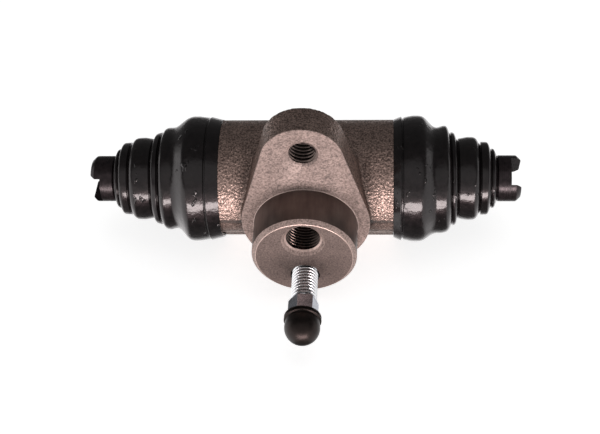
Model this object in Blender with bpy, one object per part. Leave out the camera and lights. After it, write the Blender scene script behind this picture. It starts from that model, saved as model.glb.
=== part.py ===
"""A double-ended brake wheel cylinder, modelled piece by piece in metres with +Z up.

X runs along the bore. The backing plate is on the -Y side, where the pilot boss, the line port and the
bleed screw are, and the threaded mounting ear stands up at +Z. The origin is the centre of the pilot
boss's end face. Everything hangs from an empty at the middle of the bore, and is placed from there.
"""

import math

import bmesh
import bpy
from mathutils import Matrix, Vector

# Clearances, and how far a cutter stands out of the face that it cuts
SEAT_GAP = 0.0003
RUNNING_GAP = 0.00005
LIP_GAP = 0.0001
CUT_PAST = 0.0009

# Housing casting
BORE_D = 0.0222
BARREL_D = 0.0326
BARREL_HALF = 0.0236
BOOT_SEAT_D = 0.0300
BOOT_SEAT_LENGTH = 0.0059
BEAD_GROOVE_DEPTH = 0.0008
BEAD_GROOVE_START = 0.0014
BEAD_GROOVE_WIDTH = 0.0018
BORE_CHAMFER = 0.0008
CLEARANCE_FLAT_FROM_AXIS = 0.0142
CLEARANCE_FLAT_DOWN_TILT = math.radians(28.5)

PAD_FACE = 0.0182
EAR_R = 0.01086
EAR_THICKNESS = 0.0080
EAR_RISE = 0.0247
EAR_FILLET_R = 0.0040
LOBE_R = 0.0174
LOBE_RISE = 0.0012
PAD_EDGE = 0.0004
PAD_UNDERLAP = 0.0012
MOUNT_HOLE_D = 0.0068
MOUNT_HOLE_RISE = 0.0270
MOUNT_HOLE_CHAMFER = 0.0008

PILOT_D = 0.0280
PILOT_LENGTH = 0.0115
PILOT_CHAMFER = 0.0010

PORT_RISE = 0.0065
PORT_D = 0.0090
PORT_DEPTH = 0.0120
PORT_SPOT_D = 0.0115
PORT_SPOT_DEPTH = 0.0008
PORT_PASSAGE_D = 0.0030

BLEED_DROP = 0.0068
BLEED_HOLE_DEPTH = 0.0130
BLEED_SEAT_LENGTH = 0.0020
BLEED_PASSAGE_D = 0.0020

# Pistons, measured from the inner face towards the slotted end. A slot's lean is how far the line across
# it stands from +Z towards +Y.
PISTON_BODY_LENGTH = 0.0140
PISTON_LENGTH = 0.0446
PISTON_EDGE = 0.0005
STEM_D = 0.01276
STEM_CHAMFER_LENGTH = 0.0013
STEM_CHAMFER_DEPTH = 0.0012
STEM_GROOVE_D = 0.0112
STEM_GROOVE_WIDTH = 0.0016
STEM_GROOVE_TO_TIP = 0.0063
SLOT_WIDTH = 0.0079
SLOT_DEPTH = 0.0028
RIGHT_SLOT_LEAN = math.radians(67)
LEFT_SLOT_LEAN = math.radians(5)
RIGHT_PISTON_REST = 0.0140
LEFT_PISTON_REST = 0.0161

# Cup seals and their expanders, behind the pistons
CUP_FLOOR = 0.0026
CUP_LENGTH = 0.0052
CUP_LIP = 0.0012
EXPANDER_WALL = 0.0008
EXPANDER_REACH = 0.0018
EXPANDER_HOLE_D = 0.0040
SPRING_WIRE_D = 0.0012
SPRING_TURNS = 5

# Boots
BOOT_WALL = 0.0012

# Each fold: start and end as shares of the boot's length from its mouth, then radii as shares of the way
# from the stem's surface to the barrel's: start, crown, end of the shoulder and root after it. The last two
# values are how much of the fold its rounded shoulder takes, and the steps in which it is rounded.
BOOT_FOLDS = (
    (0.000, 0.068, 1.020, 1.106, 1.090, 1.045, 0.10, 1),
    (0.093, 0.356, 1.080, 1.131, 0.874, 0.834, 0.42, 3),
    (0.409, 0.546, 0.850, 0.854, 0.672, 0.570, 0.35, 2),
    (0.575, 0.616, 0.650, 0.667, 0.500, 0.390, 0.70, 1),
    (0.642, 0.833, 0.495, 0.521, 0.340, 0.270, 0.40, 3),
    (0.851, 0.940, 0.370, 0.380, 0.239, 0.128, 0.50, 2),
    (0.959, 1.000, 0.185, 0.189, 0.080, 0.080, 0.70, 2),
)

# Bleed screw and dust cap, measured outwards from the pilot face
SCREW_D = 0.0070
SCREW_THREAD_OUT = 0.0095
SCREW_TIP_D = 0.0024
CROSS_HOLE_DEPTH = 0.0110
HEX_ACROSS_FLATS = 0.0070
HEX_HEIGHT = 0.0048
HEX_TURN = math.radians(20)
NIPPLE_NECK_D = 0.0046
NIPPLE_D = 0.0060
NIPPLE_LENGTH = 0.0062
NIPPLE_NECK_SHARE = 0.25
NIPPLE_BULGE_SHARE = 0.40
NIPPLE_BORE_D = 0.0020
CROSS_HOLE_D = 0.0016
CAP_D = 0.0094
CAP_RIM_D = 0.0099
CAP_RIM_HEIGHT = 0.0007
CAP_LENGTH = 0.0082

# Facets round each piece
ROUND_SIDES = 56
BORE_SIDES = 48
PISTON_SIDES = 40
BOOT_SIDES = 36
SMALL_SIDES = 28
WIRE_SIDES = 6
WIRE_STEPS = 12

# Derived sizes
BARREL_R = BARREL_D / 2
BORE_R = BORE_D / 2
STEM_R = STEM_D / 2
STEM_GROOVE_END = PISTON_LENGTH - STEM_GROOVE_TO_TIP
BARREL_END = BARREL_HALF + BOOT_SEAT_LENGTH
PILOT_FACE = PAD_FACE + PILOT_LENGTH
BORE_CENTRE = "bore_centre"
SIDES = (("left", -1, LEFT_PISTON_REST, LEFT_SLOT_LEAN), ("right", 1, RIGHT_PISTON_REST, RIGHT_SLOT_LEAN))


def clear_scene():
    for obj in list(bpy.data.objects):
        bpy.data.objects.remove(obj, do_unlink=True)


def material(name, colour, roughness, metallic):
    mat = bpy.data.materials.new(name)
    mat.use_nodes = True
    shader = mat.node_tree.nodes["Principled BSDF"]
    shader.inputs["Base Color"].default_value = (*colour, 1.0)
    shader.inputs["Roughness"].default_value = roughness
    shader.inputs["Metallic"].default_value = metallic
    return mat


def add_object(name, mesh, parent=None):
    """Link a new object under the given parent, or else under the middle of the bore."""
    anchor = parent or bpy.data.objects.get(BORE_CENTRE)
    obj = bpy.data.objects.new(name, mesh)
    bpy.context.scene.collection.objects.link(obj)
    obj.parent = anchor
    return obj


def add_empty(name, location=(0, 0, 0), turn=0.0, parent=None):
    empty = add_object(name, None, parent)
    empty.location = location
    empty.rotation_euler = (0, 0, turn)
    return empty


def mesh_from(bm, name):
    bmesh.ops.remove_doubles(bm, verts=bm.verts, dist=1e-7)
    bmesh.ops.recalc_face_normals(bm, faces=bm.faces)
    mesh = bpy.data.meshes.new(name)
    bm.to_mesh(mesh)
    bm.free()
    mesh.shade_smooth()
    mesh.set_sharp_from_angle(angle=math.radians(30))
    return mesh


def turned(name, profile, sides=ROUND_SIDES):
    """Spin a closed profile of (distance along X, radius) points about the X axis."""
    bm = bmesh.new()
    verts = [bm.verts.new((x, 0, r)) for x, r in profile]
    edges = [bm.edges.new((a, b)) for a, b in zip(verts, verts[1:] + verts[:1])]
    bmesh.ops.spin(
        bm, geom=verts + edges, cent=(0, 0, 0), axis=(1, 0, 0),
        angle=math.tau, steps=sides, use_merge=True,
    )
    on_axis = [v for v in bm.verts if math.hypot(v.co.y, v.co.z) < 1e-7]
    for vert in on_axis:
        vert.co.y = vert.co.z = 0
    bmesh.ops.remove_doubles(bm, verts=on_axis, dist=1e-7)
    return mesh_from(bm, name)


def extruded(name, outline, depth, edge=0.0):
    """Extrude a closed outline of points along the depth vector, with an optional chamfer at the start."""
    bm = bmesh.new()
    face = bm.faces.new([bm.verts.new(point) for point in outline])
    grown = bmesh.ops.extrude_face_region(bm, geom=[face], use_keep_orig=True)
    bmesh.ops.translate(bm, vec=depth, verts=[v for v in grown["geom"] if isinstance(v, bmesh.types.BMVert)])
    if edge:
        bmesh.ops.bevel(
            bm, geom=list(face.edges), offset=edge, affect="EDGES", segments=1, profile=0.5, material=-1,
        )
    return mesh_from(bm, name)


def arc(centre, radius, start, end, steps):
    """Points on an arc in a plane, from the start angle to the end angle."""
    angles = [start + (end - start) * i / steps for i in range(steps + 1)]
    return [(centre[0] + radius * math.cos(a), centre[1] + radius * math.sin(a)) for a in angles]


def tool(name, mesh, parent=None):
    """A cutter or guide that shapes another piece and is no piece itself."""
    obj = add_object(name, mesh, parent)
    obj.hide_render = True
    obj.display_type = "WIRE"
    return obj


def combine(obj, other, operation):
    modifier = obj.modifiers.new(other.name, "BOOLEAN")
    modifier.object = other
    modifier.operation = operation
    modifier.solver = "EXACT"


def barrel_profile():
    """The outside of the barrel, with the turned boot seat and bead groove at each end."""
    seat_r = BOOT_SEAT_D / 2
    groove_r = seat_r - BEAD_GROOVE_DEPTH
    groove_start = BARREL_HALF + BEAD_GROOVE_START
    groove_end = groove_start + BEAD_GROOVE_WIDTH
    half = [
        (BARREL_HALF, BARREL_R),
        (BARREL_HALF, seat_r),
        (groove_start, seat_r),
        (groove_start, groove_r),
        (groove_end, groove_r),
        (groove_end, seat_r),
        (BARREL_END - BORE_CHAMFER, seat_r),
        (BARREL_END, seat_r - BORE_CHAMFER),
        (BARREL_END, 0),
    ]
    return [(-x, r) for x, r in reversed(half)] + half


def bore_profile():
    reach = BARREL_END + BORE_CHAMFER
    mouth = [(BARREL_END - BORE_CHAMFER, BORE_R), (reach, BORE_R + 2 * BORE_CHAMFER), (reach, 0)]
    return [(-x, r) for x, r in reversed(mouth)] + mouth


def pad_outline():
    """The pad seen from the backing plate: a small ear and a large lobe joined by their tangents."""
    lean = math.asin((LOBE_R - EAR_R) / (EAR_RISE - LOBE_RISE))
    ear = arc((0, EAR_RISE), EAR_R, lean, math.pi - lean, 20)
    lobe = arc((0, LOBE_RISE), LOBE_R, math.pi - lean, math.tau + lean, 28)
    return [(x, -PAD_FACE, z) for x, z in ear + lobe]


def pad_side_outline():
    """The pad seen along the bore: the ear's flat back runs in a fillet onto the top of the barrel."""
    ear_back = -PAD_FACE + EAR_THICKNESS
    fillet_y = ear_back + EAR_FILLET_R
    fillet_z = math.sqrt((BARREL_R + EAR_FILLET_R) ** 2 - fillet_y ** 2)
    top = EAR_RISE + 2 * EAR_R
    foot = math.atan2(-fillet_z, -fillet_y)
    fillet = arc((fillet_y, fillet_z), EAR_FILLET_R, -math.pi, foot, 6)
    inside = BARREL_R - PAD_UNDERLAP
    before = -2 * PAD_FACE
    below = -2 * LOBE_R
    points = [(before, top), (ear_back, top)] + fillet
    points += [(0, inside), (0, below), (before, below)]
    return [(-LOBE_R - EAR_R, y, z) for y, z in points]


def drilling(name, rise, profile):
    """A turned cutter driven into the pilot face, its X axis pointing out along -Y."""
    cutter = tool(name, turned(name, profile, SMALL_SIDES))
    cutter.location = (0, -PILOT_FACE, rise)
    cutter.rotation_euler = (0, 0, -math.pi / 2)
    return cutter


def build_housing():
    housing = add_object("housing", turned("housing", barrel_profile()))
    housing.data.materials.append(material("cast iron", (0.22, 0.19, 0.17), 0.55, 0.85))

    flat_depth = BARREL_R - CLEARANCE_FLAT_FROM_AXIS
    flat = bmesh.new()
    size = Matrix.Diagonal((2 * BARREL_HALF, 2 * flat_depth, BARREL_D, 1))
    bmesh.ops.create_cube(flat, size=1, matrix=size)
    clearance_flat = tool("clearance_flat", mesh_from(flat, "clearance_flat"))
    outward = Vector((0, -math.cos(CLEARANCE_FLAT_DOWN_TILT), -math.sin(CLEARANCE_FLAT_DOWN_TILT)))
    clearance_flat.location = outward * (CLEARANCE_FLAT_FROM_AXIS + flat_depth)
    clearance_flat.rotation_euler = (CLEARANCE_FLAT_DOWN_TILT, 0, 0)
    combine(housing, clearance_flat, "DIFFERENCE")

    pad = tool("pad", extruded("pad", pad_outline(), (0, PAD_FACE, 0), PAD_EDGE))
    side_depth = (2 * (LOBE_R + EAR_R), 0, 0)
    combine(pad, tool("pad_side", extruded("pad_side", pad_side_outline(), side_depth)), "INTERSECT")
    combine(housing, pad, "UNION")

    pilot_r = PILOT_D / 2
    pilot_profile = [
        (-PILOT_LENGTH - EAR_THICKNESS / 2, 0),
        (-PILOT_LENGTH - EAR_THICKNESS / 2, pilot_r),
        (-PILOT_CHAMFER, pilot_r),
        (0, pilot_r - PILOT_CHAMFER),
        (0, 0),
    ]
    pilot = tool("pilot", turned("pilot", pilot_profile))
    pilot.location = (0, -PILOT_FACE, 0)
    pilot.rotation_euler = (0, 0, -math.pi / 2)
    combine(housing, pilot, "UNION")

    combine(housing, tool("bore", turned("bore", bore_profile(), BORE_SIDES)), "DIFFERENCE")

    to_bore = -PILOT_FACE + BORE_R / 2
    port_r = PORT_D / 2
    spot_r = PORT_SPOT_D / 2
    passage_r = PORT_PASSAGE_D / 2
    port = drilling("line_port", PORT_RISE, [
        (CUT_PAST, 0),
        (CUT_PAST, spot_r),
        (-PORT_SPOT_DEPTH, spot_r),
        (-PORT_SPOT_DEPTH, port_r),
        (-PORT_DEPTH, port_r),
        (-PORT_DEPTH - port_r + passage_r, passage_r),
        (to_bore, passage_r),
        (to_bore, 0),
    ])
    combine(housing, port, "DIFFERENCE")

    hole_r = SCREW_D / 2 + LIP_GAP
    bleed_r = BLEED_PASSAGE_D / 2
    bleed = drilling("bleed_drilling", -BLEED_DROP, [
        (CUT_PAST, 0),
        (CUT_PAST, hole_r),
        (-BLEED_HOLE_DEPTH, hole_r),
        (-BLEED_HOLE_DEPTH - BLEED_SEAT_LENGTH, bleed_r),
        (to_bore, bleed_r),
        (to_bore, 0),
    ])
    combine(housing, bleed, "DIFFERENCE")

    mount_r = MOUNT_HOLE_D / 2
    wide_r = mount_r + MOUNT_HOLE_CHAMFER
    front = -PAD_FACE + PILOT_FACE
    mount_hole = drilling("mount_hole", MOUNT_HOLE_RISE, [
        (-front + CUT_PAST, 0),
        (-front + CUT_PAST, wide_r),
        (-front, wide_r),
        (-front - MOUNT_HOLE_CHAMFER, mount_r),
        (-front - EAR_THICKNESS + MOUNT_HOLE_CHAMFER, mount_r),
        (-front - EAR_THICKNESS, wide_r),
        (-front - EAR_THICKNESS - CUT_PAST, wide_r),
        (-front - EAR_THICKNESS - CUT_PAST, 0),
    ])
    combine(housing, mount_hole, "DIFFERENCE")
    return housing


def build_piston(side, sign, stroke, slot_lean, finish):
    body_r = BORE_R - RUNNING_GAP
    groove_start = STEM_GROOVE_END - STEM_GROOVE_WIDTH
    mesh = turned(f"{side}_piston", [
        (0, 0),
        (0, body_r - PISTON_EDGE),
        (PISTON_EDGE, body_r),
        (PISTON_BODY_LENGTH - PISTON_EDGE, body_r),
        (PISTON_BODY_LENGTH, body_r - PISTON_EDGE),
        (PISTON_BODY_LENGTH, STEM_R),
        (groove_start, STEM_R),
        (groove_start, STEM_GROOVE_D / 2),
        (STEM_GROOVE_END, STEM_GROOVE_D / 2),
        (STEM_GROOVE_END, STEM_R),
        (PISTON_LENGTH - STEM_CHAMFER_LENGTH, STEM_R),
        (PISTON_LENGTH, STEM_R - STEM_CHAMFER_DEPTH),
        (PISTON_LENGTH, 0),
    ], PISTON_SIDES)
    piston = add_object(f"{side}_piston", mesh, stroke)
    piston.data.materials.append(finish)
    piston.rotation_euler = (-sign * slot_lean, 0, 0)

    slot = bmesh.new()
    size = Matrix.Diagonal((2 * SLOT_DEPTH, 2 * STEM_D, SLOT_WIDTH, 1))
    bmesh.ops.create_cube(slot, size=1, matrix=Matrix.Translation((PISTON_LENGTH, 0, 0)) @ size)
    cutter = tool(f"{side}_slot", mesh_from(slot, f"{side}_slot"), piston)
    combine(piston, cutter, "DIFFERENCE")


def build_cup(side, stroke, finish):
    """A rubber cup: a flat back on the piston and a lip that the pressure spreads on the bore."""
    lip_r = BORE_R - LIP_GAP
    mesh = turned(f"{side}_cup", [
        (-SEAT_GAP, 0),
        (-SEAT_GAP, lip_r - CUP_LIP / 2),
        (-CUP_FLOOR / 2, lip_r - CUP_LIP / 4),
        (-CUP_LENGTH, lip_r),
        (-CUP_LENGTH, lip_r - CUP_LIP / 2),
        (-CUP_FLOOR - SEAT_GAP, lip_r - 2 * CUP_LIP),
        (-CUP_FLOOR - SEAT_GAP, 0),
    ], SMALL_SIDES)
    add_object(f"{side}_cup", mesh, stroke).data.materials.append(finish)


def build_expander(side, stroke, finish):
    """A pressed steel dish that sits in the cup and takes the end of the spring."""
    face = -CUP_FLOOR - 2 * SEAT_GAP
    rim_r = BORE_R - LIP_GAP - 2 * CUP_LIP - SEAT_GAP
    mesh = turned(f"{side}_expander", [
        (face, EXPANDER_HOLE_D / 2),
        (face, rim_r - EXPANDER_WALL),
        (face - EXPANDER_REACH, rim_r),
        (face - EXPANDER_REACH, rim_r - EXPANDER_WALL),
        (face - EXPANDER_WALL, rim_r - 2 * EXPANDER_WALL),
        (face - EXPANDER_WALL, EXPANDER_HOLE_D / 2),
    ], SMALL_SIDES)
    add_object(f"{side}_expander", mesh, stroke).data.materials.append(finish)


def build_spring(finish):
    """The return spring: a helix about X from one expander to the other, with one swept wire section."""
    seat = CUP_FLOOR + 3 * SEAT_GAP + EXPANDER_WALL + SPRING_WIRE_D / 2
    start = -LEFT_PISTON_REST + seat
    end = RIGHT_PISTON_REST - seat
    rim_r = BORE_R - LIP_GAP - 2 * CUP_LIP - SEAT_GAP
    coil_r = rim_r - 2 * EXPANDER_WALL - SEAT_GAP - SPRING_WIRE_D / 2
    count = SPRING_TURNS * WIRE_STEPS
    curve = bpy.data.curves.new("return_spring", "CURVE")
    curve.dimensions = "3D"
    curve.bevel_depth = SPRING_WIRE_D / 2
    curve.bevel_resolution = WIRE_SIDES // 2 - 2
    curve.use_fill_caps = True
    line = curve.splines.new("POLY")
    line.points.add(count)
    for i, point in enumerate(line.points):
        angle = math.tau * i / WIRE_STEPS
        x = start + (end - start) * i / count
        point.co = (x, coil_r * math.cos(angle), coil_r * math.sin(angle), 1)
    curve.materials.append(finish)
    add_object("return_spring", curve)


def boot_outer(length):
    """The folds' outside as (distance from the mouth, radius) points, from the mouth to the small end."""

    def radius(share):
        return STEM_R + share * (BARREL_R - STEM_R)

    points = []
    for start, end, first, crown, shoulder_end, root, rounding, steps in BOOT_FOLDS:
        turn = end - (end - start) * rounding
        points.append((start * length, radius(first)))
        for step in range(steps + 1):
            angle = math.pi / 2 * step / steps
            along = turn + (end - turn) * math.sin(angle)
            share = shoulder_end + (crown - shoulder_end) * math.cos(angle)
            points.append((along * length, radius(share)))
        if root < shoulder_end:
            points.append((end * length, radius(root)))
    return points


def boot_inner(length):
    """The folds' inside, one wall in from the outside, with a bead at each end that sits in its groove."""
    seat_r = BOOT_SEAT_D / 2 + SEAT_GAP
    bead_r = seat_r - BEAD_GROOVE_DEPTH
    bead_start = BEAD_GROOVE_START
    bead_end = bead_start + BEAD_GROOVE_WIDTH - 2 * SEAT_GAP
    points = [(0, seat_r), (bead_start, seat_r), (bead_start, bead_r), (bead_end, bead_r), (bead_end, seat_r)]

    stem_clear = STEM_R + SEAT_GAP
    for start, end, _, crown, _, root, rounding, _ in BOOT_FOLDS[1:-1]:
        width = (end - start) * length
        if width > 2 * BOOT_WALL:
            crown_r = STEM_R + crown * (BARREL_R - STEM_R) - BOOT_WALL
            points.append((start * length + BOOT_WALL, crown_r))
            turn = end * length - width * rounding
            if turn > start * length + 2 * BOOT_WALL:
                points.append((turn, crown_r))
        root_r = STEM_R + root * (BARREL_R - STEM_R) - BOOT_WALL
        points.append((end * length, max(root_r, stem_clear)))

    small_bead = length - (STEM_GROOVE_WIDTH - 2 * SEAT_GAP)
    small_r = STEM_GROOVE_D / 2 + SEAT_GAP
    return points + [(small_bead, stem_clear), (small_bead, small_r), (length, small_r)]


def build_boot(side, side_frame, rest, finish):
    """A bellows from the barrel's seat to the stem's groove, stretched to where the piston stands."""
    mouth = BARREL_HALF + SEAT_GAP
    length = rest + STEM_GROOVE_END - SEAT_GAP - mouth
    profile = boot_outer(length) + list(reversed(boot_inner(length)))
    boot = add_object(f"{side}_boot", turned(f"{side}_boot", profile, BOOT_SIDES), side_frame)
    boot.location = (mouth, 0, 0)
    boot.data.materials.append(finish)


def build_bleed_screw(axis, finish):
    screw_r = SCREW_D / 2
    tip_r = SCREW_TIP_D / 2
    slope = BLEED_SEAT_LENGTH / (screw_r + LIP_GAP - BLEED_PASSAGE_D / 2)
    cone_start = -BLEED_HOLE_DEPTH + SEAT_GAP
    tip = cone_start - (screw_r - tip_r) * slope
    hex_end = SCREW_THREAD_OUT + HEX_HEIGHT
    nipple_end = hex_end + NIPPLE_LENGTH
    screw = add_object("bleed_screw", turned("bleed_screw", [
        (tip, 0),
        (tip, tip_r),
        (cone_start, screw_r),
        (SCREW_THREAD_OUT + HEX_HEIGHT / 2, screw_r),
        (SCREW_THREAD_OUT + HEX_HEIGHT / 2, NIPPLE_NECK_D / 2),
        (hex_end + NIPPLE_LENGTH * NIPPLE_NECK_SHARE, NIPPLE_NECK_D / 2),
        (hex_end + NIPPLE_LENGTH * NIPPLE_BULGE_SHARE, NIPPLE_D / 2),
        (nipple_end, NIPPLE_NECK_D / 2),
        (nipple_end, 0),
    ], SMALL_SIDES), axis)
    screw.data.materials.append(finish)

    corner_r = HEX_ACROSS_FLATS / math.sqrt(3)
    hexagon = tool("hexagon", turned("hexagon", [
        (SCREW_THREAD_OUT, 0),
        (SCREW_THREAD_OUT, corner_r),
        (hex_end, corner_r),
        (hex_end, 0),
    ], 6), axis)
    hexagon.rotation_euler = (HEX_TURN, 0, 0)
    flat_r = HEX_ACROSS_FLATS / 2
    rise = (corner_r - flat_r) / 2
    rounding = tool("hexagon_rounding", turned("hexagon_rounding", [
        (SCREW_THREAD_OUT - rise, 0),
        (SCREW_THREAD_OUT - rise, flat_r - rise),
        (SCREW_THREAD_OUT + 2 * rise, corner_r + 2 * rise),
        (hex_end - 2 * rise, corner_r + 2 * rise),
        (hex_end + rise, flat_r - rise),
        (hex_end + rise, 0),
    ], SMALL_SIDES), axis)
    combine(hexagon, rounding, "INTERSECT")
    combine(screw, hexagon, "UNION")

    bore_r = NIPPLE_BORE_D / 2
    bore = tool("nipple_bore", turned("nipple_bore", [
        (-CROSS_HOLE_DEPTH, 0),
        (-CROSS_HOLE_DEPTH, bore_r),
        (nipple_end + bore_r, bore_r),
        (nipple_end + bore_r, 0),
    ], 16), axis)
    combine(screw, bore, "DIFFERENCE")

    hole_r = CROSS_HOLE_D / 2
    cross = tool("cross_hole", turned("cross_hole", [
        (-SCREW_D, 0),
        (-SCREW_D, hole_r),
        (SCREW_D, hole_r),
        (SCREW_D, 0),
    ], 12), axis)
    cross.location = (-CROSS_HOLE_DEPTH + 2 * hole_r, 0, 0)
    cross.rotation_euler = (0, 0, math.pi / 2)
    combine(screw, cross, "DIFFERENCE")


def build_dust_cap(axis, finish):
    """A domed rubber cap over the nipple, with a thin rim round its mouth."""
    mouth = SCREW_THREAD_OUT + HEX_HEIGHT + SEAT_GAP
    tip = mouth + CAP_LENGTH
    cap_r = CAP_D / 2
    rim_r = CAP_RIM_D / 2
    groove_r = cap_r - (rim_r - cap_r)
    pocket_r = NIPPLE_D / 2 + SEAT_GAP
    pocket_end = SCREW_THREAD_OUT + HEX_HEIGHT + NIPPLE_LENGTH + SEAT_GAP
    dome = arc((tip - cap_r, 0), cap_r, math.pi / 2, 0, 8)
    mesh = turned("dust_cap", [
        (mouth, pocket_r),
        (mouth, rim_r),
        (mouth + CAP_RIM_HEIGHT, rim_r),
        (mouth + CAP_RIM_HEIGHT, groove_r),
        (mouth + 2 * CAP_RIM_HEIGHT, cap_r),
        *dome,
        (pocket_end, 0),
        (pocket_end, pocket_r),
    ], SMALL_SIDES)
    add_object("dust_cap", mesh, axis).data.materials.append(finish)


def build_side(side, sign, rest, slot_lean, finishes):
    """One end of the cylinder: its boot on the housing, and the group that the pressure pushes out."""
    side_frame = add_empty(f"{side}_side", turn=0.0 if sign > 0 else math.pi)
    build_boot(side, side_frame, rest, finishes["boot"])
    stroke = add_empty(f"{side}_stroke", (rest, 0, 0), parent=side_frame)
    build_piston(side, sign, stroke, slot_lean, finishes["piston"])
    build_cup(side, stroke, finishes["cup"])
    build_expander(side, stroke, finishes["spring"])


def main():
    clear_scene()
    add_empty(BORE_CENTRE, (0, PILOT_FACE, 0))
    finishes = {
        "boot": material("boot rubber", (0.012, 0.012, 0.014), 0.25, 0.0),
        "cup": material("seal rubber", (0.02, 0.02, 0.02), 0.5, 0.0),
        "piston": material("black anodised", (0.03, 0.025, 0.028), 0.3, 0.8),
        "spring": material("spring steel", (0.35, 0.34, 0.33), 0.35, 1.0),
        "screw": material("zinc plate", (0.62, 0.63, 0.65), 0.25, 1.0),
        "cap": material("cap rubber", (0.015, 0.013, 0.013), 0.45, 0.0),
    }
    build_housing()
    for side, sign, rest, slot_lean in SIDES:
        build_side(side, sign, rest, slot_lean, finishes)
    build_spring(finishes["spring"])
    bleed_axis = add_empty("bleed_axis", (0, -PILOT_FACE, -BLEED_DROP), -math.pi / 2)
    build_bleed_screw(bleed_axis, finishes["screw"])
    build_dust_cap(bleed_axis, finishes["cap"])


main()
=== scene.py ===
"""The looks of a double-ended brake wheel cylinder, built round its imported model, in metres.

The bore runs along X, the backing plate is on the -Y side and the mounting ear stands up at +Z. Turned
pieces are spun about their own X axis and then placed: the bore's pieces on the bore, and those of the bleed
screw with X pointing out of the pilot boss, along -Y.
"""

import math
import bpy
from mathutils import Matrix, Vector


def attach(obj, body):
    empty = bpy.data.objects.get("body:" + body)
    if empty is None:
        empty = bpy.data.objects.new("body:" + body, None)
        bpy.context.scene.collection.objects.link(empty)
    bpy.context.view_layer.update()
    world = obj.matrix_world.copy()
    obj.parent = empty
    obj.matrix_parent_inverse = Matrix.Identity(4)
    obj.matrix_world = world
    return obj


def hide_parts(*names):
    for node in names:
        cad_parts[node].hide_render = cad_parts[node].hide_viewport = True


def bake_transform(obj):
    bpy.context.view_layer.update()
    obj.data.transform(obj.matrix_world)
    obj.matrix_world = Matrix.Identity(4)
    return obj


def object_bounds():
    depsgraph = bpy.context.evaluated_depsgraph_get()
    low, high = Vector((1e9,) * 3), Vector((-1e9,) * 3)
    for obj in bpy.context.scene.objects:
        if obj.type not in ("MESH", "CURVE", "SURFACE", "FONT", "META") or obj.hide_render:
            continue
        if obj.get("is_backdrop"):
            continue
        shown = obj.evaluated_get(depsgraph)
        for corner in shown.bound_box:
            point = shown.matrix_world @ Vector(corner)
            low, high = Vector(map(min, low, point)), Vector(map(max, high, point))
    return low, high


bl_info = {
    "name": "Wheel Cylinder",
    "version": (1, 0, 0),
    "blender": (4, 5, 0),
    "location": "3D View > Sidebar > Wheel Cylinder",
    "description": "Builds the visible pieces of a brake wheel cylinder round its fixed model",
    "category": "Object",
}

import bmesh
import bpy
from bpy.props import FloatProperty, FloatVectorProperty, IntProperty, PointerProperty
from mathutils import Matrix, Vector, noise

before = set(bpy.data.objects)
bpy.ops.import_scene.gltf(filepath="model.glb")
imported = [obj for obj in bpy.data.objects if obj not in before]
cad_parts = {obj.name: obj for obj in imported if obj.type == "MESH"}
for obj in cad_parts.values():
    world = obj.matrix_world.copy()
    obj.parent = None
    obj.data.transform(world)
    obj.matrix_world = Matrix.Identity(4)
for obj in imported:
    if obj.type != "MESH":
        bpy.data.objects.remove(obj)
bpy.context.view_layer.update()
TINY = 1e-7
SLIVER = 2e-5

# The casting, from the middle of the bore
BORE_AXIS_Y = 0.0297
BORE_R = 0.0111
BARREL_R = 0.0163
BARREL_HALF = 0.0236
BARREL_END = 0.0295
BOOT_SEAT_R = 0.0150
BEAD_GROOVE_R = 0.0142
BEAD_GROOVE_START = 0.0250
BEAD_GROOVE_END = 0.0268
MOUTH_CHAMFER = 0.0008
FLAT_FROM_AXIS = 0.0142
FLAT_TILT = math.radians(28.5)
PAD_FACE = 0.0182
EAR_R = 0.01086
EAR_THICKNESS = 0.0080
EAR_RISE = 0.0247
EAR_FILLET_R = 0.0040
SKIN_ALLOWANCE = 0.0006
LOBE_R = 0.0174
LOBE_RISE = 0.0012
PAD_EDGE_BREAK = 0.00018
PILOT_CHAMFER = 0.0011
PILOT_R = 0.0140
PILOT_LENGTH = 0.0115
PILOT_FACE = PAD_FACE + PILOT_LENGTH

# Drillings, measured inwards from the pilot's end face
MOUNT_RISE = 0.0270
MOUNT_CHAMFER = 0.0006
MOUNT_EDGE = 0.0004
PORT_RISE = 0.0065
PORT_R = 0.0045
PORT_DEPTH = 0.0120
PORT_SPOT_R = 0.00575
PORT_SPOT_DEPTH = 0.0008
PORT_SPOT_EDGE = 0.0003
PORT_CHAMFER = 0.0004
PORT_PASSAGE_R = 0.0015
BLEED_DROP = 0.0068
BLEED_HOLE_R = 0.0036
BLEED_MOUTH_R = 0.00395
BLEED_DEPTH = 0.0130
BLEED_SEAT = 0.0020
BLEED_PASSAGE_R = 0.0010

# Pistons, from the inner face to the slotted end
PISTON_REST = {"left": 0.0161, "right": 0.0140}
SLOT_LEAN = {"left": math.radians(5), "right": math.radians(67)}
PISTON_R = 0.01105
PISTON_BODY = 0.0140
PISTON_LENGTH = 0.0446
STEM_R = 0.00638
STEM_GROOVE_R = 0.0056
STEM_GROOVE_START = 0.0367
STEM_GROOVE_END = 0.0383
STEM_CHAMFER_LENGTH = 0.0013
STEM_CHAMFER_DEPTH = 0.0012
SLOT_WIDTH = 0.0079
SLOT_DEPTH = 0.0028

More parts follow.
